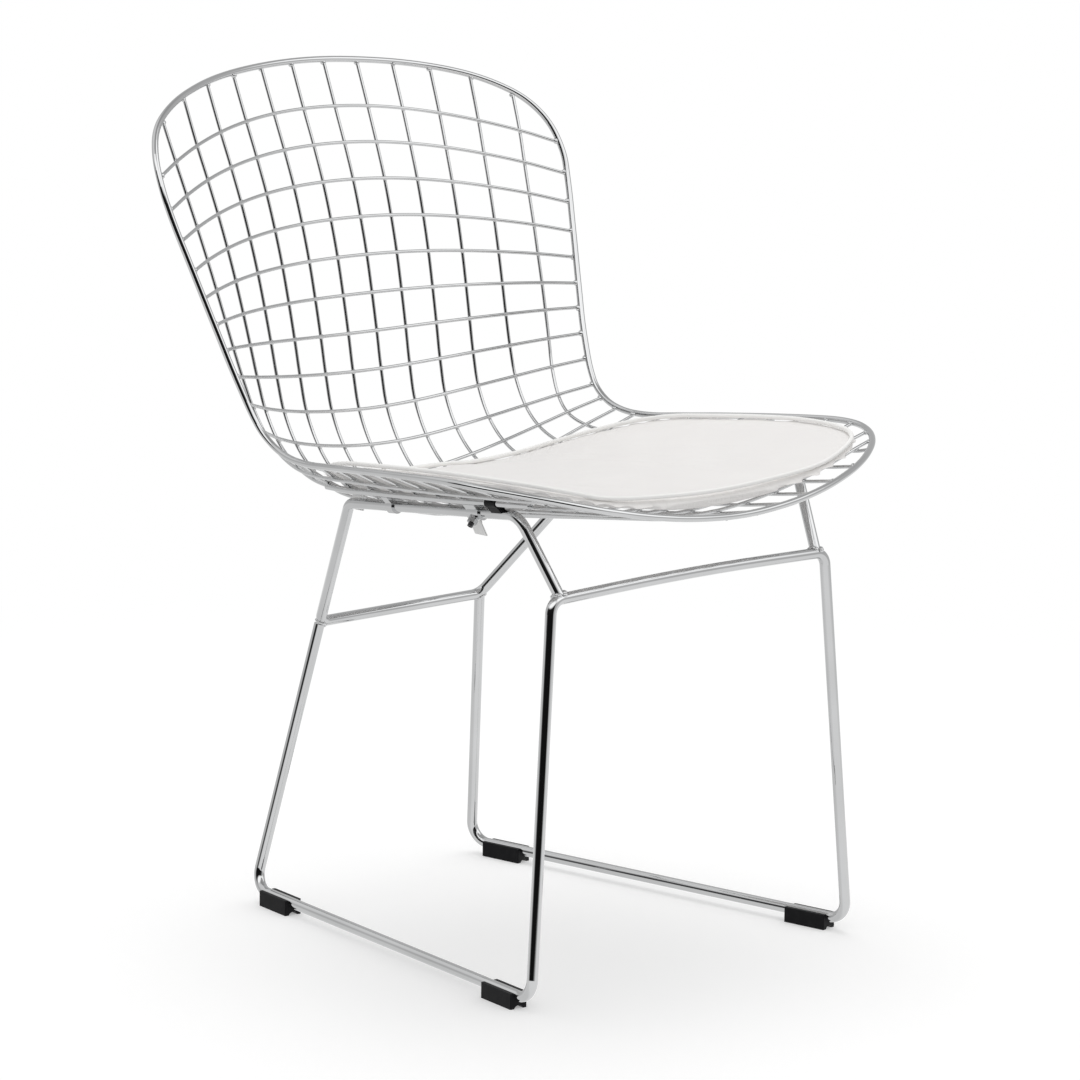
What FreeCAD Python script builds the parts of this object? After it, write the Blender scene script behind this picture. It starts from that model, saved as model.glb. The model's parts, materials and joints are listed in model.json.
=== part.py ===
import FreeCAD, Part
import math
import os

# Wire mesh chair with a strapped seat pad. Millimetres, +Z up, the sitter faces -Y.
# The origin is on the floor at the middle of the chair's outline, and x = 0 is the mirror plane.

Vector = FreeCAD.Vector
os.makedirs("parts", exist_ok=True)

# Rod and wire diameters
rim_diameter = 6.0
wire_diameter = 3.2
under_rail_diameter = 6.0
base_diameter = 10.0
weld_bite = 0.05                # how far two welded rods sink into each other

# One half of the rim's centre line, from the top of the back to the front edge of the seat
rim_half = [
    (0, 292, 775.5), (60, 289, 773.2), (120, 278, 767), (170, 261.5, 757), (205, 247, 744.5),
    (230, 232.5, 729), (244.5, 216.5, 708), (249.5, 201.5, 681), (246.5, 190, 652), (237.5, 172.5, 607),
    (227.5, 154, 559), (218, 135.5, 513), (210.5, 114, 472), (208.5, 95, 455.5), (209.5, 72, 447.5),
    (213.5, 42, 446), (222, 3, 449.5), (231, -38, 453.8), (240.5, -92, 459), (247.5, -142, 463.3),
    (249.5, -172, 465.2), (247, -197, 465), (239, -217, 463), (226, -234.5, 460), (207, -251, 455.5),
    (180, -266.5, 448.8), (149, -277.5, 441.5), (105, -286.5, 433), (56, -291, 426.5), (0, -292, 423.5)]

# The basket's line at x = 0, as (y, z), down the back, round the bend and forwards to the rim
spine_points = [
    (292, 775.5), (272, 731.5), (245, 666), (224, 596), (209, 527), (194, 458), (175.5, 423.5),
    (148, 395.5), (116, 380), (82, 375.5), (48, 377.2), (-51, 390.2), (-150, 403.8), (-249, 417),
    (-292, 423.5)]

# Where the cross wires sit: distances along the spine and along the rim from the top of the back
cross_count = 23
back_rows = 12                  # the first rows, which are spaced wider than those of the seat
spine_first = 47.5
spine_pitch_back = 36.1
spine_pitch_seat = 33.4
rim_first = 301.0
rim_gaps = [32, 29, 29, 26, 26, 24, 26, 26, 27, 17, 21, 23] + [31.3] * 9 + [25]

# Twelve long wires, which stand closest to each other at the bend
long_per_side = 6
long_pitch_bend = 34.3
long_pitch_top = 39.6
long_pitch_front = 36.5
bend_row = 11
outer_draw = 8.5                # the outermost ones also draw inwards round the bend
outer_draw_rows = 2.4

# Under rails below the mesh: the cross wires they join, and how they spread towards the front
under_rail_rows = range(13, 23)
under_rail_x = 162.0
under_rail_spread = 2.4         # sideways for each row

# Base rods: corner points on the right-hand side, and bend radii
runner_height = 11.2
rear_joint = (101, 153, 270)
rear_floor = (138.5, 201, runner_height)
front_floor = (200, -242, runner_height)
front_joint = (171, -230, 359.5)
front_foot_x = 160.0            # where the upper rod lands on the front stretcher
rail_rear = (154, 52, 403)
rail_front = (174, -190.5, 429)
floor_bend = 18.0
rail_bend = 20.0
joint_bend = 13.0
leg_shortfall = 2.0             # how far below the rear joint's corner point the coped leg ends
foot_depth = 2.5                # how far the upper rod's foot is coped into the front stretcher
stretcher_rise = 4.0            # the front stretcher is bowed up a little at its middle
stretcher_bow = 4000.0          # radius of that bow
front_turn_down = 14.0          # straight end of the front stretcher, down to the front leg
rear_turn_up = 6.0              # straight end of the rear stretcher, up to the upper rod

# Black plastic glides under the runners
glide_length = 45.0
glide_width = 17.5
glide_height = 14.4
glide_corner = 0.8
glide_arch_width = 9.5
glide_arch_height = 3.0
groove_opening = 4.0            # how far the runner's groove is cut upwards, past its widest part
rear_glide_y = 158.0
front_glide_y = -201.0

# Saddles that join the basket's under rails to the upper rods, each between two cross wires
rear_saddle_row = 15            # the cross wire just behind it
rear_saddle_shift = -7.5        # from the middle between the two wires
front_saddle_row = 19
saddle_spread = 14.0            # how far outside the upper rod's rear end the gaps are measured
saddle_width = 16.0
rear_saddle_width = 9.0
saddle_wall = 1.8
web_half = 3.0                  # half width of the web between the clip and the under rail
web_reach = 1.5                 # how far below the under rail's centre the web ends

# Black sleeves on the under rails, each with a foot on the upper rod
grip_row = 20
grip_width = 14.0
grip_wall = 0.8

# The front saddles' screws and lock nuts
screw_tilt = 40.0               # degrees that the front saddle's screw leans outwards
lug_radius = 4.6
lug_height = 0.8
lug_root = 1.0                  # how far the lug reaches inside the clip's bore
screw_diameter = 5.0
screw_length = 10.0
socket_across_flats = 2.5
socket_depth = 2.5
overshoot = 1.0                 # how far a cutting shape passes the face that it opens
nut_across_flats = 8.0
lock_nut_height = 4.0

# Seat pad: half widths of its sewn top edge at stations from the front to the back
pad_stations = [
    (-256, 134), (-250, 168), (-235, 197), (-207, 214), (-155, 221), (-100, 218), (-45, 210),
    (0, 201), (34, 188), (64, 167), (90, 139), (111, 106), (127, 66)]
pad_rest = 4.6                  # gap from the basket's middle surface to the pad's edge
pad_lift = 7.5                  # extra gap under the middle, where the pad bridges the hollow
pad_edge = 6.9                  # thickness at the sewn edge
pad_swell = 11.8                # how much thicker the middle is
pad_flare = 10.0                # how far the underside reaches beyond the sewn edge
pad_bulge = 1.5
pad_lip = 2.5                   # thickness at the very front and the very back
piping_diameter = 4.0
piping_rise = 1.2               # how far the piping's centre stands above and outside the edge
piping_bow = 3.0                # how far it bows out across the front and the back
piping_share = 0.6              # where along that bow its middle point lies

# Straps that button the pad to the under rails
strap_width = 15.0
strap_thickness = 1.6
strap_rise = 14.0               # from the mesh up into the pad
front_strap_inset = 9.0         # from the upper rod's centre, clear of the nearest long wire
front_strap_tail = 14.5
front_strap_lean = 0.73         # how far its tail swings forwards for each unit of drop
front_strap_gap = 3.2           # from the cross wire in front of it
rear_strap_inset = 17.0
rear_strap_tail = 4.0
rear_strap_row = 13
snap_diameter = 9.0
snap_height = 2.0


def vector(point):
    return Vector(float(point[0]), float(point[1]), float(point[2]))


def mirrored(point):
    return Vector(-point.x, point.y, point.z)


def unit(direction):
    return direction * (1.0 / direction.Length)


def tangents(points):
    """Directions at the points of a path, each along the chord between its neighbours."""
    found = []
    last = len(points) - 1
    for index in range(last + 1):
        before = points[max(index - 1, 0)]
        after = points[min(index + 1, last)]
        found.append(unit(after - before))
    return found


def arc_edge(start, corner, end):
    """The arc that leaves start and reaches end along the two legs of the corner."""
    middle = (start + end) * 0.5
    rise = corner - middle
    half_chord = (end - start).Length / 2
    if rise.Length < 1e-4 * half_chord:
        return Part.LineSegment(start, end).toShape()
    half_turn = math.atan2(rise.Length, half_chord)
    top = middle + unit(rise) * (half_chord * math.tan(half_turn / 2))
    return Part.Arc(start, top, end).toShape()


def smooth_edges(points, directions=None):
    """Two tangent arcs between each pair of neighbouring points."""
    directions = directions or tangents(points)
    edges = []
    for index in range(len(points) - 1):
        start, end = points[index], points[index + 1]
        leave, arrive = directions[index], directions[index + 1]
        chord = end - start
        both = leave + arrive
        along = chord.dot(both)
        spare = 4.0 - both.dot(both)
        if spare < 1e-9:
            reach = chord.dot(chord) / (2 * along)
        else:
            reach = (math.sqrt(along * along + spare * chord.dot(chord)) - along) / spare
        first_corner = start + leave * reach
        second_corner = end - arrive * reach
        joint = (first_corner + second_corner) * 0.5
        edges.append(arc_edge(start, first_corner, joint))
        edges.append(arc_edge(joint, second_corner, end))
    return edges


def bent_edges(corners, radii):
    """Straight runs between the corners, with an arc of the given radius at each inner corner."""
    edges = []
    start = corners[0]
    for index in range(1, len(corners) - 1):
        corner = corners[index]
        back = unit(corners[index - 1] - corner)
        ahead = unit(corners[index + 1] - corner)
        turn = math.pi - back.getAngle(ahead)
        setback = radii[index - 1] * math.tan(turn / 2)
        first = corner + back * setback
        second = corner + ahead * setback
        edges.append(Part.LineSegment(start, first).toShape())
        edges.append(arc_edge(first, corner, second))
        start = second
    edges.append(Part.LineSegment(start, corners[-1]).toShape())
    return edges


def tube(edges, diameter):
    """A round rod along a chain of edges, with flat ends."""
    first = edges[0]
    start = first.valueAt(first.FirstParameter)
    heading = first.tangentAt(first.FirstParameter)
    section = Part.Wire([Part.Circle(start, heading, diameter / 2).toShape()])
    return Part.Wire(edges).makePipeShell([section], True, False)


def point_along(edges, distance):
    """The point at a distance along a chain of edges."""
    for edge in edges:
        if distance <= edge.Length:
            return edge.valueAt(edge.getParameterByLength(distance))
        distance -= edge.Length
    last = edges[-1]
    return last.valueAt(last.LastParameter)


def heading_along(edges, distance):
    """The direction of a chain of edges at a distance along it."""
    return unit(point_along(edges, distance + 0.5) - point_along(edges, max(distance - 0.5, 0.0)))


def save(name, shape):
    shape.exportStep("parts/" + name + ".step")


rim_points = [vector(point) for point in rim_half]
rim_directions = tangents(rim_points)
rim_directions[0] = Vector(1, 0, 0)
rim_directions[-1] = Vector(-1, 0, 0)
rim_edges = smooth_edges(rim_points, rim_directions)
rim_length = sum(edge.Length for edge in rim_edges)
rim_crest = 270.0               # along the rim from either middle, x grows at least this far

spine_edges = smooth_edges([Vector(0, y, z) for y, z in spine_points])


def rim_at_x(x, from_front):
    """The rim's centre at a given x, on the top of the back or on the front edge."""
    low, high = 0.0, rim_crest
    for _ in range(40):
        middle = (low + high) / 2
        point = point_along(rim_edges, rim_length - middle if from_front else middle)
        if point.x < x:
            low = middle
        else:
            high = middle
    return point


def row_ends():
    """For each cross wire, its point at x = 0, its end at the rim and the rim's direction there."""
    rows = []
    along_spine = spine_first
    along_rim = rim_first
    for row in range(1, cross_count + 1):
        rows.append((point_along(spine_edges, along_spine), point_along(rim_edges, along_rim),
                     heading_along(rim_edges, along_rim)))
        along_spine += spine_pitch_back if row < back_rows else spine_pitch_seat
        if row < cross_count:
            along_rim += rim_gaps[row - 1]
    return rows


rows = row_ends()


def long_pitch(row):
    """Spacing of the long wires at a row, where row 0 is the top rim and the last is the front rim."""
    if row <= bend_row:
        spread = ((bend_row - row) / bend_row) ** 1.5
        return long_pitch_bend + (long_pitch_top - long_pitch_bend) * spread
    spread = (row - bend_row) / (cross_count + 1 - bend_row)
    return long_pitch_bend + (long_pitch_front - long_pitch_bend) * spread


def long_place(row, step):
    """The x of a long wire at a row."""
    x = (step + 0.5) * long_pitch(row)
    if step in (-long_per_side, long_per_side - 1):
        draw = outer_draw * math.exp(-((row - bend_row) / outer_draw_rows) ** 2)
        x -= math.copysign(draw, x)
    return x


def surface(row, x):
    """The basket's middle surface at a cross wire: it curls forwards and up towards the rim."""
    centre, end, _ = rows[row - 1]
    share = abs(x) / end.x
    forward_power = min(2.1 + 0.09 * (row - 1), 2.9)
    upward_power = 2.05 if row <= 10 else max(2.05 - 0.07 * (row - 10), 1.7)
    y = centre.y + (end.y - centre.y) * share ** forward_power
    z = centre.z + (end.z - centre.z) * share ** upward_power
    return Vector(x, y, z)


def grid_point(row, x):
    """A point of the surface, with the rim itself as row 0 and as the row after the last."""
    if row == 0 or row == cross_count + 1:
        point = rim_at_x(abs(x), row > 0)
        return Vector(x, point.y, point.z)
    return surface(row, x)


def rim_heading(row, x):
    """The rim's direction at a given x, on the top of the back or on the front edge."""
    return unit(grid_point(row, x + 1.0) - grid_point(row, x - 1.0))


def normal(row, x):
    """The surface's direction towards the sitter."""
    sideways = surface(row, x + 2.0) - surface(row, x - 2.0)
    forwards = grid_point(row + 1, x) - grid_point(row - 1, x)
    return unit(forwards.cross(sideways))


def butt(end, inner, along):
    """Where a wire that comes from inner stops on the rim, which runs along its own direction at end."""
    arriving = unit(inner - end)
    sine = arriving.cross(along).Length
    cosine = abs(arriving.dot(along))
    reach = (rim_diameter / 2 - weld_bite + wire_diameter / 2 * cosine) / sine
    return end + arriving * reach


wire_offset = wire_diameter / 2 - weld_bite


def cross_wire(row):
    """A cross wire, which lies on the sitter's side of the long wires."""
    end, along = rows[row - 1][1:]
    places = [long_place(row, step) for step in range(-long_per_side, long_per_side)]
    points = [surface(row, x) + normal(row, x) * wire_offset for x in places]
    points.insert(0, butt(mirrored(end), points[0], mirrored(along)))
    points.append(butt(end, points[-1], along))
    return tube(smooth_edges(points), wire_diameter)


def long_wire(step):
    """A long wire from the top rim to the front rim, on the outside of the cross wires."""
    points = []
    for row in range(1, cross_count + 1):
        x = long_place(row, step)
        points.append(surface(row, x) - normal(row, x) * wire_offset)
    top = grid_point(0, long_place(0, step))
    front = grid_point(cross_count + 1, long_place(cross_count + 1, step))
    points.insert(0, butt(top, points[0], rim_heading(0, top.x)))
    points.append(butt(front, points[-1], rim_heading(cross_count + 1, front.x)))
    return tube(smooth_edges(points), wire_diameter)


def under_rail_points():
    """The under rail's centre line, which touches the cross wires from below."""
    points = []
    for row in under_rail_rows:
        x = under_rail_x + under_rail_spread * (row - under_rail_rows[0])
        points.append(surface(row, x) - normal(row, x) * (under_rail_diameter / 2 - weld_bite))
    return points


def mirror_x(shape):
    return shape.mirror(Vector(0, 0, 0), Vector(1, 0, 0))


# The rim, as two halves joined at the mirror plane
half_rim = tube(rim_edges, rim_diameter)
rim = half_rim.fuse(mirror_x(half_rim))
save("rim_rod", rim.Solids[0])

# The mesh of the basket
for row in range(1, cross_count + 1):
    save("cross_wire_%02d" % row, cross_wire(row))
for number, step in enumerate(range(-long_per_side, long_per_side), start=1):
    save("long_wire_%02d" % number, long_wire(step))

# Under rails, welded below the cross wires
under_edges = smooth_edges(under_rail_points())
under_rail = tube(under_edges, under_rail_diameter)
save("under_rail_right", under_rail)
save("under_rail_left", mirror_x(under_rail))

# The rear stretcher, turned up at both ends towards the upper rods
rise_line = unit(vector(rail_rear) - vector(rear_joint))
turn_end = vector(rear_joint) + rise_line * (joint_bend + rear_turn_up)
rear_edges = bent_edges([turn_end, vector(rear_joint), mirrored(vector(rear_joint)), mirrored(turn_end)],
                        [joint_bend, joint_bend])
rear_stretcher = tube(rear_edges, base_diameter)
save("rear_stretcher", rear_stretcher)

# Side loops: rear leg, runner and front leg in one bent rod, coped to the rear stretcher's bend
leg_line = unit(vector(front_joint) - vector(front_floor))
leg_top = vector(front_joint) - leg_line * (joint_bend + front_turn_down)
rear_line = unit(vector(rear_joint) - vector(rear_floor))
rear_leg_top = vector(rear_joint) - rear_line * leg_shortfall
loop_edges = bent_edges([rear_leg_top, vector(rear_floor), vector(front_floor), leg_top],
                        [floor_bend, floor_bend])
whole_loop = tube(loop_edges, base_diameter).cut(rear_stretcher)
side_loop = max(whole_loop.Solids, key=lambda piece: piece.Volume)
save("side_loop_right", side_loop)
save("side_loop_left", mirror_x(side_loop))

# The front stretcher, bowed up at its middle and turned down into the front legs
bow_start = vector(front_joint)
bow_middle = Vector(0, front_joint[1], front_joint[2] + stretcher_rise)
front_edges = bent_edges([leg_top, bow_start, bow_middle, mirrored(bow_start), mirrored(leg_top)],
                         [joint_bend, stretcher_bow, joint_bend])
front_stretcher = tube(front_edges, base_diameter)
save("front_stretcher", front_stretcher)

# Upper rods: up from the rear stretcher, forwards under the seat and down to the front stretcher
foot_height = front_joint[2] + stretcher_rise * (1 - front_foot_x / front_joint[0])
foot_centre = Vector(front_foot_x, front_joint[1], foot_height)
foot_line = unit(vector(rail_front) - foot_centre)
foot = foot_centre + foot_line * (base_diameter / 2 - foot_depth)
upper_edges = bent_edges([turn_end, vector(rail_rear), vector(rail_front), foot], [rail_bend, rail_bend])
upper_rod = tube(upper_edges, base_diameter).cut(front_stretcher)
save("upper_rod_right", upper_rod.Solids[0])
save("upper_rod_left", mirror_x(upper_rod.Solids[0]))


def glide(centre_y):
    """A block under the runner, with a groove for the rod and an arch along its underside."""
    heading = vector(front_floor) - vector(rear_floor)
    share = (rear_floor[1] - centre_y) / (rear_floor[1] - front_floor[1])
    centre = vector(rear_floor) + heading * share
    turn = math.degrees(math.atan2(heading.x, -heading.y))
    block = Part.makeBox(glide_width, glide_length, glide_height,
                         Vector(-glide_width / 2, -glide_length / 2, 0))
    upright = [edge for edge in block.Edges if abs(edge.tangentAt(edge.FirstParameter).z) > 0.9]
    block = block.makeFillet(glide_corner, upright)
    arch_radius = (glide_arch_width ** 2 / 4 + glide_arch_height ** 2) / (2 * glide_arch_height)
    arch_start = Vector(0, -glide_length / 2 - overshoot, glide_arch_height - arch_radius)
    arch = Part.makeCylinder(arch_radius, glide_length + 2 * overshoot, arch_start, Vector(0, 1, 0))
    block = block.cut(arch)
    block.rotate(Vector(0, 0, 0), Vector(0, 0, 1), turn)
    block.translate(Vector(centre.x, centre.y, 0))
    # Above the runner the groove is open, so that the rod drops in from the top
    opened = side_loop.copy()
    opened.translate(Vector(0, 0, groove_opening))
    return block.cut(side_loop).cut(opened)


for end_name, place in (("rear", rear_glide_y), ("front", front_glide_y)):
    block = glide(place)
    solid = max(block.Solids, key=lambda piece: piece.Volume)
    save("glide_%s_right" % end_name, solid)
    save("glide_%s_left" % end_name, mirror_x(solid))

# Saddles: a clip round the upper rod with a web that is welded below the under rail
rail_line = unit(vector(rail_front) - vector(rail_rear))


def rail_point(y):
    """The upper rod's centre at y."""
    share = (y - rail_rear[1]) / (rail_front[1] - rail_rear[1])
    return vector(rail_rear) + (vector(rail_front) - vector(rail_rear)) * share


def under_rail_at(centre):
    """The under rail's centre in the plane across the upper rod at a point."""
    low, high = 0.0, sum(edge.Length for edge in under_edges)
    for _ in range(40):
        middle = (low + high) / 2
        point = point_along(under_edges, middle)
        if (point - centre).dot(rail_line) < 0:
            low = middle
        else:
            high = middle
    return point


def hexagon(across_flats, height, base, axis):
    """A six-sided prism, as a nut or a socket."""
    corner = across_flats / math.sqrt(3)
    points = []
    for index in range(7):
        angle = math.radians(60 * index)
        points.append(Vector(corner * math.cos(angle), corner * math.sin(angle), 0))
    prism = Part.Face(Part.makePolygon(points)).extrude(Vector(0, 0, height))
    prism.Placement = FreeCAD.Placement(base, FreeCAD.Rotation(Vector(0, 0, 1), axis))
    return prism


def gap_y(row, x):
    """The y midway between a cross wire and the next one."""
    return (surface(row, x).y + surface(row + 1, x).y) / 2


def web(lower, upper, width):
    """The block between the two rods at a place, as wide as the clip or grip that it belongs to."""
    across = unit((upper - lower).cross(rail_line)) * web_half
    outline = [lower - across, lower + across, upper + across, upper - across]
    outline = [corner - rail_line * (width / 2) for corner in outline]
    return Part.Face(Part.makePolygon(outline + outline[:1])).extrude(rail_line * width)


def sleeve(centre, radius, width):
    return Part.makeCylinder(radius, width, centre - rail_line * (width / 2), rail_line)


def saddle(y, width):
    """A clip round the upper rod with a web that reaches up to the under rail."""
    lower = rail_point(y)
    upper = under_rail_at(lower)
    top = upper + unit(lower - upper) * web_reach
    return sleeve(lower, base_diameter / 2 + saddle_wall, width).fuse(web(lower, top, width))


def grip(y, width):
    """A black sleeve round the under rail with a foot on the upper rod."""
    lower = rail_point(y)
    upper = under_rail_at(lower)
    return sleeve(upper, under_rail_diameter / 2 + grip_wall, width).fuse(web(lower, upper, width))


def bored(body):
    """A clip or a grip with its rods' bores, as one solid."""
    body = body.cut(upper_rod.Solids[0]).cut(under_rail).removeSplitter()
    return max(body.Solids, key=lambda piece: piece.Volume)


saddle_x = rail_rear[0] + saddle_spread
rear_clip = saddle(gap_y(rear_saddle_row, saddle_x) + rear_saddle_shift, rear_saddle_width)
rail_grip = grip(gap_y(grip_row, saddle_x), grip_width)

# The front clip has a lug for its screw, which leans outwards and is held by a lock nut
front_y = gap_y(front_saddle_row, saddle_x)
front_clip = saddle(front_y, saddle_width)
front_centre = rail_point(front_y)
down = unit(rail_line * rail_line.z - Vector(0, 0, 1))
outwards = down.cross(rail_line)
if outwards.x < 0:
    outwards = outwards * -1.0
tilt = math.radians(screw_tilt)
screw_line = down * math.cos(tilt) + outwards * math.sin(tilt)
lug_start = front_centre + screw_line * (base_diameter / 2 - lug_root)
lug_end = front_centre + screw_line * (base_diameter / 2 + saddle_wall + lug_height)
lug = Part.makeCylinder(lug_radius, (lug_end - lug_start).Length, lug_start, screw_line)
screw_tip = front_centre + screw_line * (base_diameter / 2)
shank = Part.makeCylinder(screw_diameter / 2, screw_length, screw_tip, screw_line)
socket_start = screw_tip + screw_line * (screw_length - socket_depth)
socket = hexagon(socket_across_flats, socket_depth + overshoot, socket_start, screw_line)
screw = shank.cut(socket).cut(upper_rod.Solids[0])
lock_nut = hexagon(nut_across_flats, lock_nut_height, lug_end, screw_line).cut(shank)
front_clip = front_clip.fuse(lug).cut(shank)


def both_sides(solids):
    return Part.makeCompound(solids + [mirror_x(solid) for solid in solids])


save("rear_saddles", both_sides([bored(rear_clip)]))
save("front_saddles", both_sides([bored(front_clip)]))
save("rail_grips", both_sides([bored(rail_grip)]))
save("saddle_screws", both_sides([screw.Solids[0]]))
save("saddle_lock_nuts", both_sides([lock_nut.Solids[0]]))


def mesh_height(x, y):
    """Height of the basket's middle surface at a place of the seat."""
    previous = None
    for row in range(8, cross_count + 2):
        point = grid_point(row, x)
        if point.y <= y:
            share = (y - previous.y) / (point.y - previous.y)
            return previous.z + (point.z - previous.z) * share
        previous = point
    return previous.z


def swell_share(y):
    """How full the pad is at y: 1 along most of it, a half at the front and back edges."""
    front_y, back_y = pad_stations[0][0], pad_stations[-1][0]
    place = (2 * y - front_y - back_y) / (back_y - front_y)
    return 1 - 0.5 * min(1.0, abs(place)) ** 4


def underside_outline():
    """The edge of the underside as (y, half width): the sewn edge moved outwards by the flare."""
    outline = []
    last = len(pad_stations) - 1
    for index, (y, half_width) in enumerate(pad_stations):
        before, after = pad_stations[max(index - 1, 0)], pad_stations[min(index + 1, last)]
        outwards = unit(Vector(before[1] - after[1], after[0] - before[0], 0))
        if index in (0, last):
            outwards = Vector(-1 if index == 0 else 1, 0, 0)
        outline.append((y + outwards.x * pad_flare, half_width + outwards.y * pad_flare))
    return outline


underside = underside_outline()


def underside_half_width(y):
    for (y_a, half_a), (y_b, half_b) in zip(underside, underside[1:]):
        if y <= y_b:
            return half_a + (half_b - half_a) * (y - y_a) / (y_b - y_a)
    return underside[-1][1]


def top_heights(y, half_width, edge, swell):
    """Heights of the pad's top at the sewn edge and at the middle."""
    low_middle = mesh_height(0, y) + pad_rest + pad_lift * swell_share(y)
    return mesh_height(half_width, y) + pad_rest + edge, low_middle + edge + swell * swell_share(y)


def pad_section(y, half_width, edge, swell):
    """The pad across the seat: hollow under the middle, crowned on top, with sloping sides."""
    outer = underside_half_width(y)
    low_edge = mesh_height(outer, y) + pad_rest
    low_middle = mesh_height(0, y) + pad_rest + pad_lift * swell_share(y)
    top_edge, top_middle = top_heights(y, half_width, edge, swell)
    left_low, right_low = Vector(-outer, y, low_edge), Vector(outer, y, low_edge)
    left_top, right_top = Vector(-half_width, y, top_edge), Vector(half_width, y, top_edge)
    side_x = (outer + half_width) / 2 + pad_bulge / 2
    side_z = (low_edge + top_edge) / 2 + pad_bulge
    edges = [
        Part.Arc(left_low, Vector(0, y, low_middle), right_low).toShape(),
        Part.Arc(right_low, Vector(side_x, y, side_z), right_top).toShape(),
        Part.Arc(right_top, Vector(0, y, top_middle), left_top).toShape(),
        Part.Arc(left_top, Vector(-side_x, y, side_z), left_low).toShape()]
    return Part.Wire(edges)


def pad_lip_section(edge_point):
    """The thin section at the very front or back of the underside."""
    y, half_width = edge_point
    return pad_section(y, half_width - pad_flare, pad_lip, pad_lip)


sections = [pad_lip_section(underside[0])]
sections += [pad_section(y, half_width, pad_edge, pad_swell) for y, half_width in pad_stations]
sections.append(pad_lip_section(underside[-1]))
pad = Part.makeLoft(sections, True, False)


def edge_end_points(station, step):
    """Piping points across one end of the pad, from its corner to the middle."""
    y, half_width = station
    top_edge, top_middle = top_heights(y, half_width, pad_edge, pad_swell)
    points = []
    for share in (piping_share, 0.0):
        height = top_middle + (top_edge - top_middle) * share ** 2 + piping_rise
        points.append(Vector(half_width * share, y + step * (1 - share ** 2), height))
    return points


def piping_points():
    """The piping's centre line, round the pad's sewn edge, from the back to the front."""
    points = edge_end_points(pad_stations[-1], piping_bow)[::-1]
    for y, half_width in reversed(pad_stations):
        height = mesh_height(half_width, y) + pad_rest + pad_edge
        points.append(Vector(half_width + piping_rise, y, height + piping_rise))
    return points + edge_end_points(pad_stations[0], -piping_bow)


piping_line = piping_points()
piping_directions = tangents(piping_line)
piping_directions[0] = Vector(1, 0, 0)
piping_directions[-1] = Vector(-1, 0, 0)
half_piping = tube(smooth_edges(piping_line, piping_directions), piping_diameter)
piping = half_piping.fuse(mirror_x(half_piping)).Solids[0]
save("pad_piping", piping)
pad = max(pad.cut(piping).Solids, key=lambda piece: piece.Volume)
save("seat_pad", pad)


def strap(inner_x, top_y, top, bottom, lean):
    """A flat strap across x whose tail swings forwards as it drops."""
    bottom_y = top_y - lean * (top - bottom)
    half = strap_width / 2
    outline = [Vector(inner_x, top_y - half, top), Vector(inner_x, top_y + half, top),
               Vector(inner_x, bottom_y + half, bottom), Vector(inner_x, bottom_y - half, bottom)]
    sheet = Part.Face(Part.makePolygon(outline + outline[:1])).extrude(Vector(-strap_thickness, 0, 0))
    return min(sheet.cut(pad).Solids, key=lambda piece: piece.BoundBox.ZMin)


def snap(inner_x, strap_y, height):
    """A snap button on the strap's inboard face."""
    return Part.makeCylinder(snap_diameter / 2, snap_height,
                             Vector(inner_x - strap_thickness, strap_y, height), Vector(-1, 0, 0))


# Straps: each hangs from the pad through the mesh, inboard of the rails, with a snap on its tail
rear_y = gap_y(rear_strap_row, rail_rear[0] - rear_strap_inset)
rear_rail = rail_point(rear_y)
rear_x = rear_rail.x - rear_strap_inset
rear_bottom = rear_rail.z - base_diameter / 2 - rear_strap_tail
rear_strap_top = mesh_height(rear_x, rear_y) + strap_rise
rear_strap = strap(rear_x, rear_y, rear_strap_top, rear_bottom, 0.0)
rear_snap = snap(rear_x, rear_y, rear_bottom + snap_diameter)

front_wire = surface(front_saddle_row, front_centre.x - front_strap_inset)
strap_y = front_wire.y + wire_diameter / 2 + front_strap_gap + strap_width / 2
front_rail = rail_point(strap_y)
front_x = front_rail.x - front_strap_inset
front_bottom = front_rail.z - base_diameter / 2 - front_strap_tail
front_top_y = strap_y + front_strap_lean * strap_rise
front_strap = strap(front_x, front_top_y, front_wire.z + strap_rise, front_bottom, front_strap_lean)
tail_y = strap_y - front_strap_lean * (front_wire.z - front_bottom - snap_diameter)
front_snap = snap(front_x, tail_y, front_bottom + snap_diameter)
save("pad_straps", both_sides([rear_strap, front_strap]))
save("strap_snaps", both_sides([rear_snap, front_snap]))
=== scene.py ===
import json
import math
import bmesh
import bpy
import numpy as np
from mathutils import Matrix, Vector
from mathutils.bvhtree import BVHTree
from mathutils.kdtree import KDTree


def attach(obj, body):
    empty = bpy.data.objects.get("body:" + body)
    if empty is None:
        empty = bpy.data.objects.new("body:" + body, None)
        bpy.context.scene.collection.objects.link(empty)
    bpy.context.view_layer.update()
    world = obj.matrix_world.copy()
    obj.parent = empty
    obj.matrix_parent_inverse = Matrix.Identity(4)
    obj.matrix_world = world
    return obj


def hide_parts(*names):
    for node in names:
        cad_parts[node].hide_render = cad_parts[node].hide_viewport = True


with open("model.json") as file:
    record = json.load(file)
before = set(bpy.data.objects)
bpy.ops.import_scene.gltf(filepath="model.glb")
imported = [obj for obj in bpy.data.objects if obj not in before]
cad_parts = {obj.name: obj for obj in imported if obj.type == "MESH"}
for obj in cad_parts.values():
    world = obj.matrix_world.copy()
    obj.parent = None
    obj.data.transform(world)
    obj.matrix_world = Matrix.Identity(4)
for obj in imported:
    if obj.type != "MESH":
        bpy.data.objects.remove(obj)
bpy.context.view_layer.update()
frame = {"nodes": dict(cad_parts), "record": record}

# Wire mesh chair: chromed rods, welded mesh, black glides and a white vinyl seat pad.
# Metres, +Z up, the sitter faces -Y.

millimetre = 0.001

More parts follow.
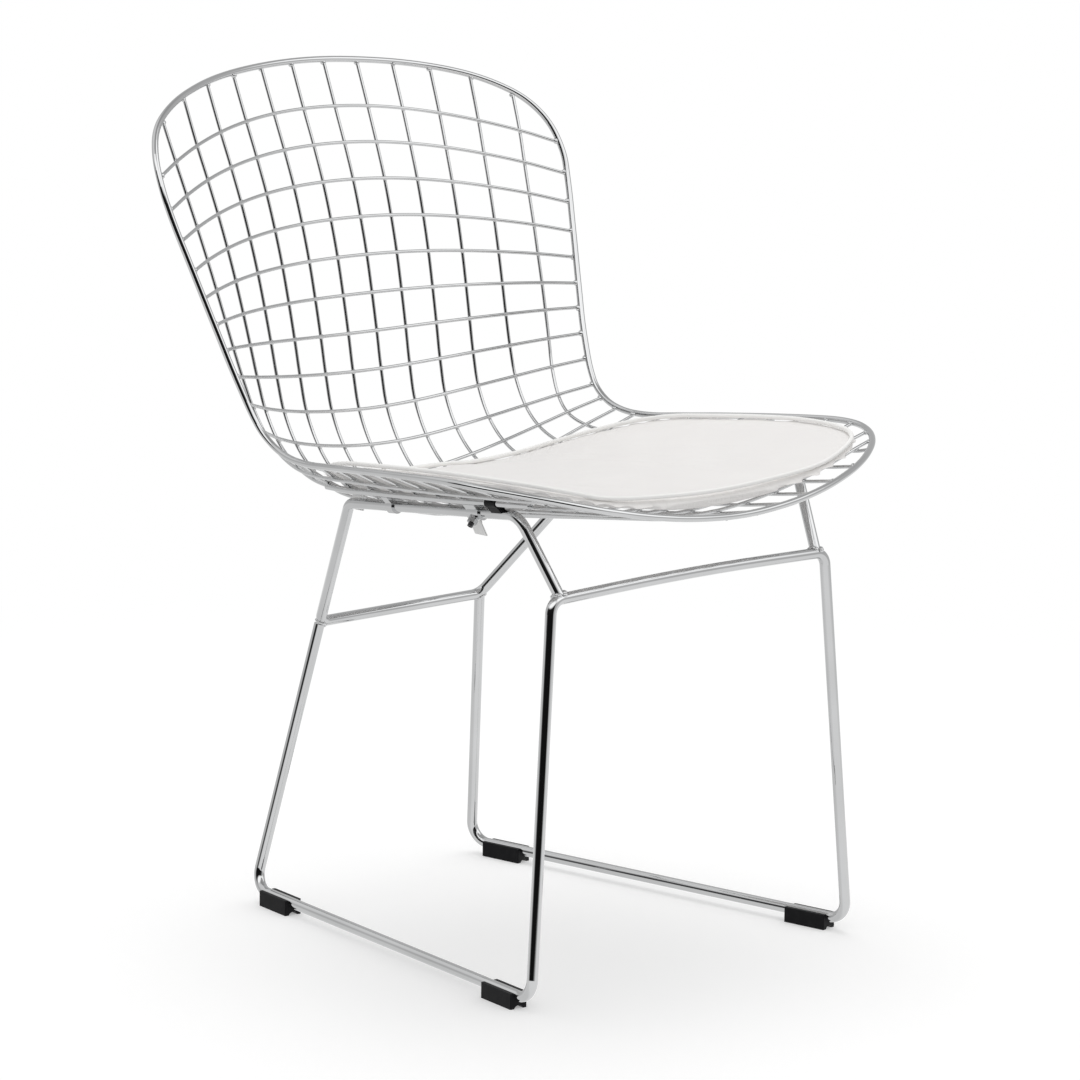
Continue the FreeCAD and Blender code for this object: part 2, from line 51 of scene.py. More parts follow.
camera = {
    "place": (-2.9361, -3.1103, 1.1835),
    "azimuth": -43.679,          # degrees, 0 looks along +Y
    "elevation": 10.927,
    "roll": 0.779,
    "lens": 158.33,
    "sensor": 36.0,
    "clipEnd": 60.0,
}

studio = {
    "diffuse": 0.79,             # world light on everything but polished metal
    "keyPower": 35.0,
    "keySize": 2.4,
    "keyPlace": (0.6, 0.5, 3.6),
    "keyAim": (0, 0, 0.4),
    "floorColour": 0.73,
    "floorGlow": 0.315,          # what the camera adds to the lit floor
    "floorSize": 26.0,
    "floorFade": (0.55, 1.5),    # from here on outwards the floor turns into plain white
}

# What polished metal sees. Heights are sines of the elevation, colours are plain levels.
reflected = {
    "bands": [
        (-1.0, 0.92), (-0.20, 0.92), (-0.13, 0.62), (0.10, 0.58), (0.60, 0.56), (0.90, 0.42), (1.0, 0.40),
    ],
    "behind": [
        (-0.19, 0.92), (-0.13, 0.008), (0.05, 0.010), (0.41, 0.016), (0.58, 1.40), (0.85, 1.40), (1.0, 0.60),
    ],
    "behindHeading": 194,        # degrees right of the camera's heading
    "behindReach": (0.24, 0.54),
    # panels: degrees right of the camera's heading, degrees up, outer and inner radius, level
    "panels": [(100, 41, 30, 14, 1.45), (-70, 50, 38, 20, 0.84), (-80, -50, 58, 28, 0.76)],
}


def cameraAxes(azimuth, elevation, roll):
    # right, up and back of a camera that looks along azimuth and down by elevation
    a, e, r = (math.radians(angle) for angle in (azimuth, elevation, roll))
    back = Vector((math.sin(a) * math.cos(e), -math.cos(a) * math.cos(e), math.sin(e)))
    right = (-back).cross(Vector((0, 0, 1))).normalized()
    up = back.cross(right)
    return right * math.cos(r) + up * math.sin(r), up * math.cos(r) - right * math.sin(r), back


def linkObject(name, data):
    obj = bpy.data.objects.new(name, data)
    bpy.context.scene.collection.objects.link(obj)
    return obj


def makeCamera():
    data = bpy.data.cameras.new("chairCamera")
    data.lens = camera["lens"]
    data.sensor_fit = "HORIZONTAL"
    data.sensor_width = camera["sensor"]
    data.clip_end = camera["clipEnd"]
    obj = linkObject("chairCamera", data)
    right, up, back = cameraAxes(camera["azimuth"], camera["elevation"], camera["roll"])
    turn = Matrix((right, up, back)).transposed()
    obj.matrix_world = Matrix.Translation(camera["place"]) @ turn.to_4x4()
    bpy.context.scene.camera = obj


# Node helpers

def addNode(tree, kind, inputs=None, **settings):
    node = tree.nodes.new(kind)
    for key, value in settings.items():
        setattr(node, key, value)
    for key, value in (inputs or {}).items():
        if isinstance(value, bpy.types.NodeSocket):
            tree.links.new(value, node.inputs[key])
        else:
            node.inputs[key].default_value = value
    return node


def ramp(tree, factor, stops):
    node = addNode(tree, "ShaderNodeValToRGB", {"Fac": factor})
    elements = node.color_ramp.elements
    while len(elements) < len(stops):
        elements.new(0.5)
    for element, (place, colour) in zip(elements, stops):
        element.position = place
        level = colour if isinstance(colour, tuple) else (colour, colour, colour)
        element.color = (*level, 1.0)
    return node.outputs["Color"]


def dotWith(tree, direction, target):
    node = addNode(tree, "ShaderNodeVectorMath", {0: direction, 1: target}, operation="DOT_PRODUCT")
    return node.outputs["Value"]


def between(tree, value, low, high):
    node = addNode(tree, "ShaderNodeMapRange", {"Value": value, "From Min": low, "From Max": high},
                   interpolation_type="SMOOTHSTEP")
    return node.outputs["Result"]


def product(tree, first, second):
    return addNode(tree, "ShaderNodeMath", {0: first, 1: second}, operation="MULTIPLY").outputs[0]


def objectPlace(tree):
    return addNode(tree, "ShaderNodeTexCoord").outputs["Object"]


def whiteEmission(tree, strength):
    return addNode(tree, "ShaderNodeEmission", {"Color": (1, 1, 1, 1), "Strength": strength}).outputs[0]


def whiteBackground(tree, strength):
    return addNode(tree, "ShaderNodeBackground", {"Color": (1, 1, 1, 1), "Strength": strength}).outputs[0]


def mixShader(tree, factor, first, second):
    return addNode(tree, "ShaderNodeMixShader", {0: factor, 1: first, 2: second}).outputs[0]


def mixColour(tree, factor, first, second):
    node = addNode(tree, "ShaderNodeMix", {"Factor": factor}, data_type="RGBA")
    for socket, value in ((node.inputs["A"], first), (node.inputs["B"], second)):
        if isinstance(value, bpy.types.NodeSocket):
            tree.links.new(value, socket)
        else:
            socket.default_value = (value, value, value, 1)
    return node.outputs["Result"]


def heightBands(tree, height, rows):
    # a ramp over the sine of the elevation
    share = addNode(tree, "ShaderNodeMapRange", {"Value": height, "From Min": -1.0, "From Max": 1.0})
    return ramp(tree, share.outputs["Result"], [((level + 1) / 2, colour) for level, colour in rows])


def headingAt(azimuth, elevation):
    # a direction given in degrees right of the camera's heading and up
    a, e = math.radians(camera["azimuth"] - azimuth), math.radians(elevation)
    return Vector((-math.sin(a) * math.cos(e), math.cos(a) * math.cos(e), math.sin(e)))


def makeWorld():
    # The camera sees white; polished metal sees a studio; the rest is even light
    world = bpy.data.worlds.new("studio")
    bpy.context.scene.world = world
    world.use_nodes = True
    tree = world.node_tree
    tree.nodes.clear()
    direction = addNode(tree, "ShaderNodeTexCoord").outputs["Generated"]
    height = addNode(tree, "ShaderNodeSeparateXYZ", {0: direction}).outputs["Z"]
    level = heightBands(tree, height, reflected["bands"])
    facing = dotWith(tree, direction, headingAt(reflected["behindHeading"], 0))
    behind = between(tree, facing, *reflected["behindReach"])
    level = mixColour(tree, behind, level, heightBands(tree, height, reflected["behind"]))
    for azimuth, elevation, outer, inner, bright in reflected["panels"]:
        low, high = math.cos(math.radians(outer)), math.cos(math.radians(inner))
        panel = between(tree, dotWith(tree, direction, headingAt(azimuth, elevation)), low, high)
        level = mixColour(tree, panel, level, bright)
    rays = addNode(tree, "ShaderNodeLightPath")
    mirror = addNode(tree, "ShaderNodeBackground", {"Color": level, "Strength": 1.0}).outputs[0]
    plain = whiteBackground(tree, studio["diffuse"])
    seen = mixShader(tree, rays.outputs["Is Glossy Ray"], plain, mirror)
    final = mixShader(tree, rays.outputs["Is Camera Ray"], seen, whiteBackground(tree, 1.0))
    addNode(tree, "ShaderNodeOutputWorld", {"Surface": final})


def makeLight():
    data = bpy.data.lights.new("keyLight", "AREA")
    data.energy = studio["keyPower"]
    data.size = studio["keySize"]
    obj = linkObject("keyLight", data)
    place = Vector(studio["keyPlace"])
    aim = Vector(studio["keyAim"]) - place
    obj.matrix_world = Matrix.Translation(place) @ aim.to_track_quat("-Z", "Y").to_matrix().to_4x4()
    obj.visible_glossy = False


def makeFloor():
    half = studio["floorSize"] / 2
    corners = [(-half, -half, 0), (half, -half, 0), (half, half, 0), (-half, half, 0)]
    mesh = bpy.data.meshes.new("studioFloor")
    mesh.from_pydata(corners, [], [(0, 1, 2, 3)])
    floor = linkObject("studioFloor", mesh)
    floor.visible_glossy = False     # polished rods take the floor's white from the world
    material = bpy.data.materials.new("studioFloor")
    material.use_nodes = True
    tree = material.node_tree
    tree.nodes.clear()
    level = studio["floorColour"]
    lit = addNode(tree, "ShaderNodeBsdfDiffuse", {"Color": (level, level, level, 1)}).outputs[0]
    cameraRay = addNode(tree, "ShaderNodeLightPath").outputs["Is Camera Ray"]
    glow = whiteEmission(tree, product(tree, cameraRay, studio["floorGlow"]))
    near = addNode(tree, "ShaderNodeAddShader", {0: lit, 1: glow}).outputs[0]
    distance = addNode(tree, "ShaderNodeVectorMath", {0: objectPlace(tree)}, operation="LENGTH")
    far = between(tree, distance.outputs["Value"], *studio["floorFade"])
    both = mixShader(tree, product(tree, far, cameraRay), near, whiteEmission(tree, 1.0))
    addNode(tree, "ShaderNodeOutputMaterial", {"Surface": both})
    mesh.materials.append(material)


# Shared effects

def surfaceGroup(name, build):
    # a shader node group with a Scale, a Low and a High going in; build says what comes out
    group = bpy.data.node_groups.new(name, "ShaderNodeTree")
    for socket in ("Scale", "Low", "High"):
        group.interface.new_socket(socket, in_out="INPUT", socket_type="NodeSocketFloat")
    source = group.nodes.new("NodeGroupInput")
    results = build(group, source)
    for socket in results:
        group.interface.new_socket(socket, in_out="OUTPUT", socket_type="NodeSocketFloat")
    sink = group.nodes.new("NodeGroupOutput")
    for socket, value in results.items():
        group.links.new(value, sink.inputs[socket])
    return group


def toRange(tree, source, value, low, high):
    # spreads what lies between low and high over the group's own Low and High
    node = addNode(tree, "ShaderNodeMapRange", {
        "Value": value, "From Min": low, "From Max": high,
        "To Min": source.outputs["Low"], "To Max": source.outputs["High"]})
    return node.outputs["Result"]


def smudgeBody(tree, source):
    # broad, faint handling marks with a fine haze in them
    place = objectPlace(tree)
    broad = addNode(tree, "ShaderNodeTexNoise",
                    {"Vector": place, "Scale": source.outputs["Scale"], "Detail": 4.0, "Roughness": 0.62})
    fine = addNode(tree, "ShaderNodeTexNoise", {"Vector": place, "Scale": 900.0, "Detail": 2.0})
    return {"Value": toRange(tree, source, broad.outputs["Fac"], 0.35, 0.7), "Height": fine.outputs["Fac"]}


def grainBody(tree, source):
    # pebbled grain: cells with soft valleys, broken up by a slow drift
    place = objectPlace(tree)
    drift = addNode(tree, "ShaderNodeTexNoise", {"Vector": place, "Scale": 28.0, "Detail": 3.0})
    cells = addNode(tree, "ShaderNodeTexVoronoi",
                    {"Vector": place, "Scale": source.outputs["Scale"], "Randomness": 0.9},
                    feature="SMOOTH_F1")
    valley = addNode(tree, "ShaderNodeMapRange", {
        "Value": cells.outputs["Distance"], "From Min": 0.1, "From Max": 0.75, "To Min": 1.0, "To Max": 0.0})
    level = toRange(tree, source, drift.outputs["Fac"], 0.3, 0.7)
    return {"Value": level, "Height": valley.outputs["Result"]}


def puckerBody(tree, source):
    # folds that run out from the middle of the seat, strongest at the seam
    flat = addNode(tree, "ShaderNodeVectorMath", {0: objectPlace(tree), 1: (1, 1, 0)}, operation="MULTIPLY")
    heading = addNode(tree, "ShaderNodeVectorMath", {0: flat.outputs["Vector"]}, operation="NORMALIZE")
    folds = addNode(tree, "ShaderNodeTexNoise",
                    {"Vector": heading.outputs["Vector"], "Scale": source.outputs["Scale"], "Detail": 2.0})
    seam = addNode(tree, "ShaderNodeAttribute", attribute_name="seam")
    depth = product(tree, seam.outputs["Fac"], folds.outputs["Fac"])
    return {"Height": toRange(tree, source, depth, 0.0, 0.6)}


smudges = surfaceGroup("smudges", smudgeBody)
grain = surfaceGroup("grain", grainBody)
pucker = surfaceGroup("pucker", puckerBody)


def useGroup(tree, group, scale, low, high):
    return addNode(tree, "ShaderNodeGroup", {"Scale": scale, "Low": low, "High": high}, node_tree=group)


def makeMaterial(name):
    material = bpy.data.materials.new(name)
    material.use_nodes = True
    tree = material.node_tree
    return material, tree, tree.nodes["Principled BSDF"]


def noiseTint(tree, shader, scale, detail, stops):
    # the base colour follows a noise
    noise = addNode(tree, "ShaderNodeTexNoise",
                    {"Vector": objectPlace(tree), "Scale": scale, "Detail": detail})
    tree.links.new(ramp(tree, noise.outputs["Fac"], stops), shader.inputs["Base Color"])


def addBump(tree, shader, height, distance):
    bump = addNode(tree, "ShaderNodeBump", {"Height": height, "Distance": distance, "Strength": 1.0})
    tree.links.new(bump.outputs["Normal"], shader.inputs["Normal"])


# Metals: haze is the height of the finest unevenness in metres
metals = {
    "chromeRod": {"colour": (0.66, 0.665, 0.67), "roughness": (0.02, 0.06), "haze": 0.0},
    "weldMetal": {"colour": (0.72, 0.725, 0.73), "roughness": (0.08, 0.20), "haze": 0.000004},
    "zincSteel": {"colour": (0.50, 0.505, 0.51), "roughness": (0.18, 0.32), "haze": 0.00001},
    "screwSteel": {"colour": (0.10, 0.10, 0.105), "roughness": (0.28, 0.42), "haze": 0.00001},
}
metalMarks = {
    "smudges": 38.0,
    "clouds": 14.0,
    "dull": 0.93,                # how dark the clouds are against the metal's colour
}


def metalMaterial(name):
    finish = metals[name]
    colour = finish["colour"]
    material, tree, shader = makeMaterial(name)
    shader.inputs["Metallic"].default_value = 1.0
    marks = useGroup(tree, smudges, metalMarks["smudges"], *finish["roughness"])
    tree.links.new(marks.outputs["Value"], shader.inputs["Roughness"])
    dull = tuple(channel * metalMarks["dull"] for channel in colour)
    noiseTint(tree, shader, metalMarks["clouds"], 3.0, [(0.35, dull), (0.65, colour)])
    if finish["haze"]:
        addBump(tree, shader, marks.outputs["Height"], finish["haze"])
    return material


blackPlastic = {
    "dark": (0.004, 0.004, 0.005),
    "light": (0.009, 0.009, 0.010),
    "roughness": (0.42, 0.56),
    "shine": 0.16,
    "grain": 1400.0,
    "grainHeight": 0.00006,
    "scuffs": 160.0,
}


def plasticMaterial():
    material, tree, shader = makeMaterial("blackPlastic")
    pebble = useGroup(tree, grain, blackPlastic["grain"], *blackPlastic["roughness"])
    tree.links.new(pebble.outputs["Value"], shader.inputs["Roughness"])
    stops = [(0.45, blackPlastic["dark"]), (0.75, blackPlastic["light"])]
    noiseTint(tree, shader, blackPlastic["scuffs"], 5.0, stops)
    shader.inputs["Specular IOR Level"].default_value = blackPlastic["shine"]
    addBump(tree, shader, pebble.outputs["Height"], blackPlastic["grainHeight"])
    return material


# Vinyls: folds is the depth of the gathers beside a seam in metres
vinyls = {
    "padVinyl": {"light": (0.870, 0.855, 0.840), "dark": (0.845, 0.825, 0.812), "folds": 0.0022},
    # the piping is the pad's own vinyl with a painted highlight: its colour is made paler than the pad's so
    # the welt looks lit
    "pipingVinylPaintedHighlight": {"light": (0.94, 0.935, 0.92), "dark": (0.91, 0.905, 0.89), "folds": 0.0},
    "strapVinyl": {"light": (0.90, 0.90, 0.895), "dark": (0.86, 0.86, 0.855), "folds": 0.0},
}
vinylSurface = {
    "roughness": (0.40, 0.52),
    "shine": 0.35,
    "grain": 950.0,
    "grainHeight": 0.00004,
    "clouds": 9.0,
    "foldScale": 26.0,
}


def vinylMaterial(name):
    colours = vinyls[name]
    material, tree, shader = makeMaterial(name)
    pebble = useGroup(tree, grain, vinylSurface["grain"], *vinylSurface["roughness"])
    tree.links.new(pebble.outputs["Value"], shader.inputs["Roughness"])
    stops = [(0.3, colours["dark"]), (0.7, colours["light"])]
    noiseTint(tree, shader, vinylSurface["clouds"], 4.0, stops)
    shader.inputs["Specular IOR Level"].default_value = vinylSurface["shine"]
    height = product(tree, pebble.outputs["Height"], vinylSurface["grainHeight"])
    if colours["folds"]:
        gathers = useGroup(tree, pucker, vinylSurface["foldScale"], 0.0, colours["folds"])
        both = addNode(tree, "ShaderNodeMath", {0: height, 1: gathers.outputs["Height"]}, operation="ADD")
        height = both.outputs[0]
    addBump(tree, shader, height, 1.0)
    return material


chrome, weldMetal, zinc, screwSteel = (metalMaterial(name) for name in metals)
padVinyl, pipingVinylPaintedHighlight, strapVinyl = (vinylMaterial(name) for name in vinyls)

nodeMaterials = {"saddle_screws": screwSteel}
slotMaterials = {
    "chrome_rod": chrome,
    "zinc_steel": zinc,
    "black_plastic": plasticMaterial(),
    "pad_vinyl": padVinyl,
}


def dressNodes():
    for part in frame["record"]["subparts"]:
        mesh = frame["nodes"][part["node"]].data
        material = nodeMaterials.get(part["node"], slotMaterials[part["material_slot"]])
        if not mesh.materials:
            mesh.materials.append(material)
        for index in range(len(mesh.materials)):
            mesh.materials[index] = material
    print("nodes dressed")


# Meshes

def readVectors(items, field):
    flat = np.empty(len(items) * 3, np.float32)
    items.foreach_get(field, flat)
    return flat.reshape(-1, 3).astype(float)


def pointsOf(mesh):
    return readVectors(mesh.vertices, "co")


def nodePoints(name):
    return pointsOf(frame["nodes"][name].data)


def putPoints(mesh, points):
    mesh.vertices.foreach_set("co", points.astype(np.float32).ravel())
    mesh.update()


def shadeFaces(mesh, smooth):
    for face in mesh.polygons:
        face.use_smooth = smooth


def mergedCopy(name, material, newName):
    # one connected mesh from a node's loose triangles
    build = bmesh.new()
    build.from_mesh(frame["nodes"][name].data)
    bmesh.ops.remove_doubles(build, verts=build.verts, dist=0.00001)
    mesh = bpy.data.meshes.new(newName)
    build.to_mesh(mesh)
    build.free()
    mesh.materials.clear()
    mesh.materials.append(material)
    for face in mesh.polygons:
        face.material_index = 0
    shadeFaces(mesh, True)
    return linkObject(newName, mesh)


def plainMesh(obj):
    # what an object looks like with its modifiers applied
    graph = bpy.context.evaluated_depsgraph_get()
    mesh = bpy.data.meshes.new_from_object(obj.evaluated_get(graph))
    mesh.name = obj.name
    return mesh


def applyModifiers(obj):
    mesh, old = plainMesh(obj), obj.data
    obj.modifiers.clear()
    obj.data = mesh
    bpy.data.meshes.remove(old)


# Welds

# A bead has half sizes in mm: along, across and through its joint
welds = {
    "crossing": (2.3, 2.3, 1.15),
    "rimJoint": (3.1, 2.3, 2.2),
    "railJoint": (3.4, 2.0, 1.6),
    "rearBase": (2.3, 1.7, 1.5),      # one of the beads in a ring round a base joint
    "frontBase": (3.2, 2.6, 2.3),
    "ring": 15,                       # beads in such a ring
    "vary": 0.12,                     # share by which sizes differ
    "seed": 4,
    "lumps": 0.56,                    # how far the surface swings in and out, in mm
    "lumpScale": 520.0,
    "segments": 8,
    "rings": 5,
}

# How far the welder looks, in metres
reach = {
    "touch": 0.0012,                  # rods as near as this are welded
    "meeting": 0.0026,                # round a meeting, for where each rod lies
    "wireEnd": 0.0022,
    "wireRun": 0.006,                 # stretches of rod that give its direction
    "railRun": 0.008,
    "rimRun": 0.009,
    "endRun": 0.012,
    "side": 0.12,                     # wires end beyond here at the sides,
    "top": 0.6,                       # above here at the top
    "front": -0.2,                    # and before here at the front
    "rayStart": 0.03,
    "rayLength": 0.04,
    "rayOutside": 0.0003,             # outside the rod's surface
}

# Base joints on the right-hand side: the straight run of the rod that lands, and what it lands on
baseJoints = [
    {
        "rod": ((0.1385, 0.201, 0.0112), (0.101, 0.153, 0.270)),
        "radius": 0.005,
        "target": "rear_stretcher",
        "bead": "rearBase",
    },
    {
        "rod": ((0.174, -0.1905, 0.429), (0.160, -0.230, 0.3598)),
        "radius": 0.005,
        "target": "front_stretcher",
        "bead": "frontBase",
    },
]


def treeOf(points):
    tree = KDTree(len(points))
    for index, point in enumerate(points):
        tree.insert(point, index)
    tree.balance()
    return tree


def nearPoints(points, centre, distance):
    return points[np.linalg.norm(points - centre, axis=1) < distance]


def axisAt(points, centre, run):
    # the direction in which a rod runs near a point
    near = nearPoints(points, centre, run)
    _, _, rows = np.linalg.svd(near - near.mean(0))
    return Vector(rows[0])


def meeting(first, second, secondTree):
    # the middle of where two rods touch, and the centre of each rod there
    low, high = second.min(0) - reach["touch"], second.max(0) + reach["touch"]
    candidates = first[np.all((first > low) & (first < high), axis=1)]
    best = None
    for point in candidates:
        found, _, distance = secondTree.find(point)
        if best is None or distance < best[0]:
            best = (distance, point, np.array(found))
    if best is None or best[0] > reach["touch"]:
        return None
    touch = (best[1] + best[2]) / 2
    firstMiddle = nearPoints(first, touch, reach["meeting"]).mean(0)
    secondMiddle = nearPoints(second, touch, reach["meeting"]).mean(0)
    return touch, firstMiddle, secondMiddle


def touchWelds(wires, target, half, targetRun=None):
    # beads where wires touch a rod, lying along the wire or, with targetRun, along the rod
    tree = treeOf(target)
    rows = []
    for wire in wires:
        met = meeting(wire, target, tree)
        if met:
            touch, wireMiddle, targetMiddle = met
            along = axisAt(target, touch, targetRun) if targetRun else axisAt(wire, touch, reach["wireRun"])
            rows.append((touch, along, Vector(targetMiddle - wireMiddle).normalized(), half))
    return rows


def rimWeld(wire, rim, rimTree):
    # the bead where a wire's end meets the rim
    _, index = min((rimTree.find(point)[2], index) for index, point in enumerate(wire))
    end = nearPoints(wire, wire[index], reach["wireEnd"]).mean(0)
    along = axisAt(rim, end, reach["rimRun"])
    out = axisAt(wire, end, reach["endRun"])
    return end, along, along.cross(out).normalized(), welds["rimJoint"]


def ringWelds(joint, side):
    # beads along the line where a round rod meets the surface of another one
    mesh = frame["nodes"][joint["target"]].data
    points = [point.co for point in mesh.vertices]
    surface = BVHTree.FromPolygons(points, [face.vertices for face in mesh.polygons])
    start, end = (Vector(place) * Vector((side, 1, 1)) for place in joint["rod"])
    axis = (end - start).normalized()
    first = axis.orthogonal().normalized()
    second = axis.cross(first)
    rows = []
    for step in range(welds["ring"]):
        angle = math.tau * step / welds["ring"]
        out = first * math.cos(angle) + second * math.sin(angle)
        origin = end - axis * reach["rayStart"] + out * (joint["radius"] + reach["rayOutside"])
        hit, normal, _, _ = surface.ray_cast(origin, axis, reach["rayLength"])
        if hit is not None:
            rows.append((hit, axis.cross(out), (normal - axis).normalized(), welds[joint["bead"]]))
    return rows


def weldPlaces():
    # rows of (place, along, through, half sizes)
    names = sorted(frame["nodes"])
    cross = [nodePoints(name) for name in names if name.startswith("cross_wire")]
    longs = [nodePoints(name) for name in names if name.startswith("long_wire")]
    rim = nodePoints("rim_rod")
    rimTree = treeOf(rim)
    rows = []
    for wire in longs:
        rows += touchWelds(cross, wire, welds["crossing"])
    for wire in cross:
        for side in (-1, 1):
            rows.append(rimWeld(wire[wire[:, 0] * side > reach["side"]], rim, rimTree))
    for wire in longs:
        rows.append(rimWeld(wire[wire[:, 2] > reach["top"]], rim, rimTree))
        rows.append(rimWeld(wire[wire[:, 1] < reach["front"]], rim, rimTree))
    for name in ("under_rail_left", "under_rail_right"):
        rows += touchWelds(cross, nodePoints(name), welds["railJoint"], reach["railRun"])
    for joint in baseJoints:
        for side in (-1, 1):
            rows += ringWelds(joint, side)
    return rows


def weldTree():
    # lumpy beads on points that carry their turn and their half sizes
    tree = bpy.data.node_groups.new("weldBeads", "GeometryNodeTree")
    tree.interface.new_socket("Geometry", in_out="INPUT", socket_type="NodeSocketGeometry")
    tree.interface.new_socket("Lumps", in_out="INPUT", socket_type="NodeSocketFloat")
    tree.interface.new_socket("Lump Scale", in_out="INPUT", socket_type="NodeSocketFloat")
    tree.interface.new_socket("Material", in_out="INPUT", socket_type="NodeSocketMaterial")
    tree.interface.new_socket("Geometry", in_out="OUTPUT", socket_type="NodeSocketGeometry")
    source = tree.nodes.new("NodeGroupInput")
    bead = addNode(tree, "GeometryNodeMeshUVSphere",
                   {"Segments": welds["segments"], "Rings": welds["rings"], "Radius": 1.0})
    turn = addNode(tree, "GeometryNodeInputNamedAttribute", {"Name": "turn"}, data_type="FLOAT_VECTOR")
    size = addNode(tree, "GeometryNodeInputNamedAttribute", {"Name": "halfSize"}, data_type="FLOAT_VECTOR")
    rotation = addNode(tree, "FunctionNodeEulerToRotation", {0: turn.outputs["Attribute"]})
    placed = addNode(tree, "GeometryNodeInstanceOnPoints", {
        "Points": source.outputs["Geometry"], "Instance": bead.outputs["Mesh"],
        "Rotation": rotation.outputs[0], "Scale": size.outputs["Attribute"]})
    real = addNode(tree, "GeometryNodeRealizeInstances", {0: placed.outputs[0]})
    place = addNode(tree, "GeometryNodeInputPosition")
    noise = addNode(tree, "ShaderNodeTexNoise", {
        "Vector": place.outputs[0], "Scale": source.outputs["Lump Scale"], "Detail": 1.0})
    swing = addNode(tree, "ShaderNodeMath", {0: noise.outputs["Fac"], 1: 0.5}, operation="SUBTRACT")
    amount = product(tree, swing.outputs[0], source.outputs["Lumps"])
    normal = addNode(tree, "GeometryNodeInputNormal")
    offset = addNode(tree, "ShaderNodeVectorMath", {0: normal.outputs[0], "Scale": amount}, operation="SCALE")
    moved = addNode(tree, "GeometryNodeSetPosition",
                    {"Geometry": real.outputs[0], "Offset": offset.outputs[0]})
    smooth = addNode(tree, "GeometryNodeSetShadeSmooth", {"Geometry": moved.outputs[0]})
    painted = addNode(tree, "GeometryNodeSetMaterial",
                      {"Geometry": smooth.outputs[0], "Material": source.outputs["Material"]})
    sink = tree.nodes.new("NodeGroupOutput")
    tree.links.new(painted.outputs[0], sink.inputs[0])
    return tree


def socketId(tree, name):
    for item in tree.interface.items_tree:
        if item.name == name and item.in_out == "INPUT":
            return item.identifier


def makeWelds():
    rows = weldPlaces()
    random = np.random.default_rng(welds["seed"])
    mesh = bpy.data.meshes.new("weldPoints")
    mesh.from_pydata([tuple(row[0]) for row in rows], [], [])
    turns = mesh.attributes.new("turn", "FLOAT_VECTOR", "POINT")
    sizes = mesh.attributes.new("halfSize", "FLOAT_VECTOR", "POINT")
    for index, (_, along, through, half) in enumerate(rows):
        across = through.cross(along).normalized()
        along = across.cross(through).normalized()
        turns.data[index].vector = Matrix((along, across, through)).transposed().to_euler()
        vary = 1 + random.uniform(-welds["vary"], welds["vary"])
        sizes.data[index].vector = [side * vary * millimetre for side in half]
    points = linkObject("weldPoints", mesh)
    tree = weldTree()
    modifier = points.modifiers.new("beads", "NODES")
    modifier.node_group = tree
    modifier[socketId(tree, "Lumps")] = welds["lumps"] * millimetre
    modifier[socketId(tree, "Lump Scale")] = welds["lumpScale"]
    modifier[socketId(tree, "Material")] = weldMetal
    beads = linkObject("weldBeads", plainMesh(points))
    bpy.data.objects.remove(points)
    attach(beads, "root")
    print("welds", len(rows), "faces", len(beads.data.polygons))


# Seat pad

pad = {
    "voxel": 0.0045,
    "startInside": 0.0015,       # how much smaller the pad starts
    "pressure": 4.0,
    "frames": 20,
    "quality": 6,
    "mass": 0.25,
    "stretchStiffness": 18.0,
    "bendStiffness": 0.6,
    "cap": 0.006,                # how far a point may move
    "pinReach": 0.004,           # the cover is held as near the seam as this
    "seamReach": 0.030,          # how far the puckers run from the seam
    "fill": 0.8,
}


def seamDistance(points):
    tree = treeOf(nodePoints("pad_piping"))
    return np.array([tree.find(point)[2] for point in points])


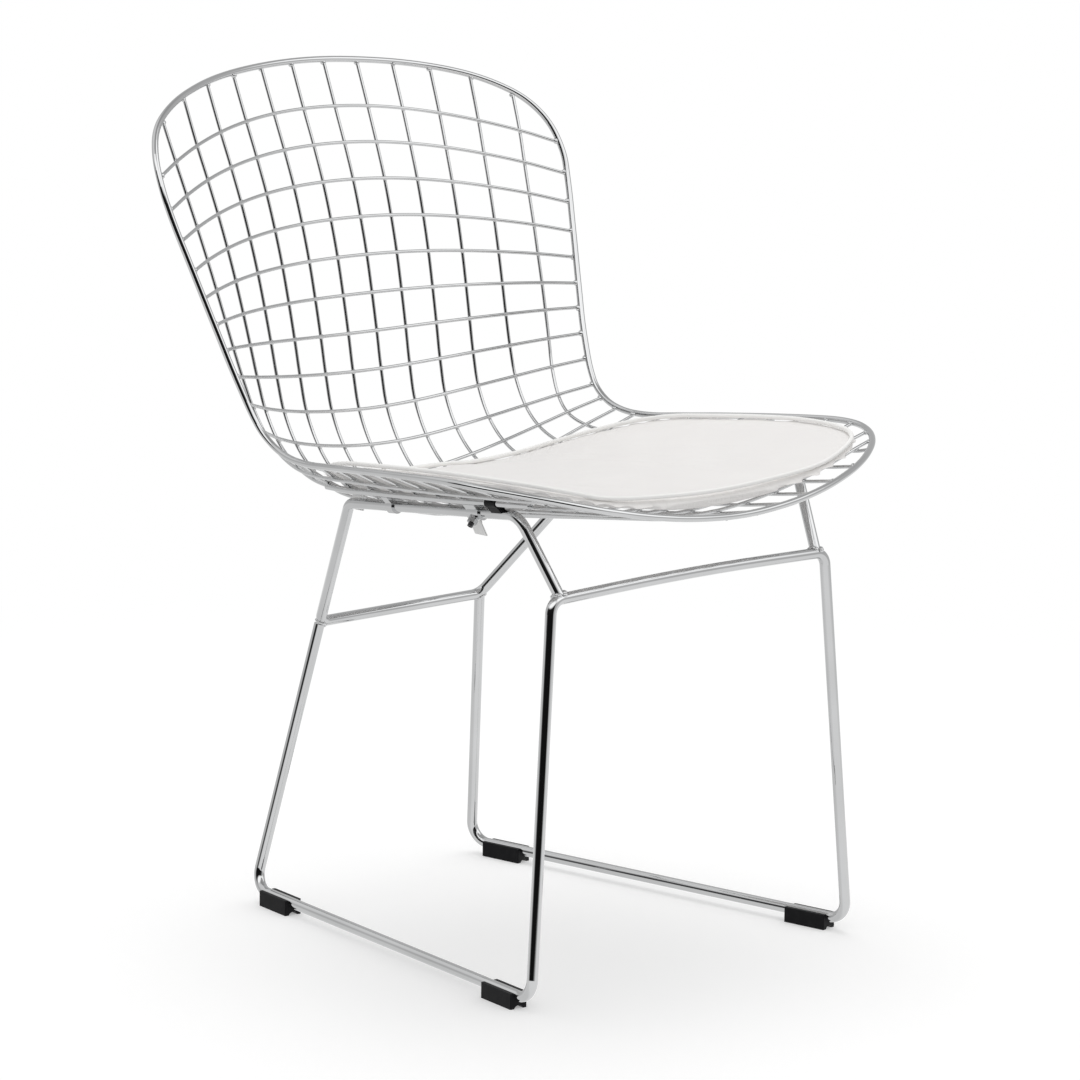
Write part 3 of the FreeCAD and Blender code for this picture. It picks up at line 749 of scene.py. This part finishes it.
def puffUp(cushion, start, toSeam):
    # where the points of the cover go under pressure, with the seam held
    pins = cushion.vertex_groups.new(name="seam")
    for index in np.nonzero(toSeam < pad["pinReach"])[0]:
        pins.add([int(index)], 1.0, "REPLACE")
    cloth = cushion.modifiers.new("puff", "CLOTH")
    cloth.settings.quality = pad["quality"]
    cloth.settings.mass = pad["mass"]
    cloth.settings.tension_stiffness = pad["stretchStiffness"]
    cloth.settings.compression_stiffness = pad["stretchStiffness"]
    cloth.settings.bending_stiffness = pad["bendStiffness"]
    cloth.settings.use_pressure = True
    cloth.settings.uniform_pressure_force = pad["pressure"]
    cloth.settings.vertex_group_mass = "seam"
    cloth.settings.effector_weights.gravity = 0.0
    cloth.point_cache.frame_end = pad["frames"]
    for step in range(1, pad["frames"] + 1):
        bpy.context.scene.frame_set(step)
    puffed = plainMesh(cushion)
    moved = pointsOf(puffed) - start
    bpy.data.meshes.remove(puffed)
    cushion.modifiers.clear()
    cushion.vertex_groups.clear()
    bpy.context.scene.frame_set(1)
    length = np.linalg.norm(moved, axis=1, keepdims=True)
    return start + moved * np.minimum(1.0, pad["cap"] / np.maximum(length, 1e-9))


def makePad():
    cushion = mergedCopy("seat_pad", padVinyl, "seatPad")
    remesh = cushion.modifiers.new("even", "REMESH")
    remesh.mode = "VOXEL"
    remesh.voxel_size = pad["voxel"]
    remesh.use_smooth_shade = True
    applyModifiers(cushion)
    even = pointsOf(cushion.data)
    inward = even - readVectors(cushion.data.vertices, "normal") * pad["startInside"]
    putPoints(cushion.data, inward)
    putPoints(cushion.data, puffUp(cushion, inward, seamDistance(even)))
    finer = cushion.modifiers.new("finer", "SUBSURF")
    finer.levels = 1
    finer.render_levels = 1
    applyModifiers(cushion)
    shadeFaces(cushion.data, True)
    near = np.clip(1 - seamDistance(pointsOf(cushion.data)) / pad["seamReach"], 0, 1)
    seam = cushion.data.attributes.new("seam", "FLOAT", "POINT")
    seam.data.foreach_set("value", near.astype(np.float32))
    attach(cushion, "root")
    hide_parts("seat_pad")
    print("pad", len(cushion.data.polygons), "faces")


def makePiping():
    # the piping's paler vinyl is a painted highlight on the welt, not a different colour of its own
    piping = mergedCopy("pad_piping", pipingVinylPaintedHighlight, "padPiping")
    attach(piping, "root")
    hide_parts("pad_piping")
    print("piping done")


strapEdge = {"width": 0.0004, "segments": 2}


def makeStraps():
    straps = mergedCopy("pad_straps", strapVinyl, "padStraps")
    softer = straps.modifiers.new("softer", "BEVEL")
    softer.width = strapEdge["width"]
    softer.segments = strapEdge["segments"]
    softer.limit_method = "ANGLE"
    applyModifiers(straps)
    shadeFaces(straps.data, False)
    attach(straps, "root")
    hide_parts("pad_straps")
    print("straps done")


bpy.context.scene.view_settings.view_transform = "Standard"
makeCamera()
makeWorld()
makeLight()
makeFloor()
print("studio done")
dressNodes()
makeWelds()
makePad()
makePiping()
makeStraps()
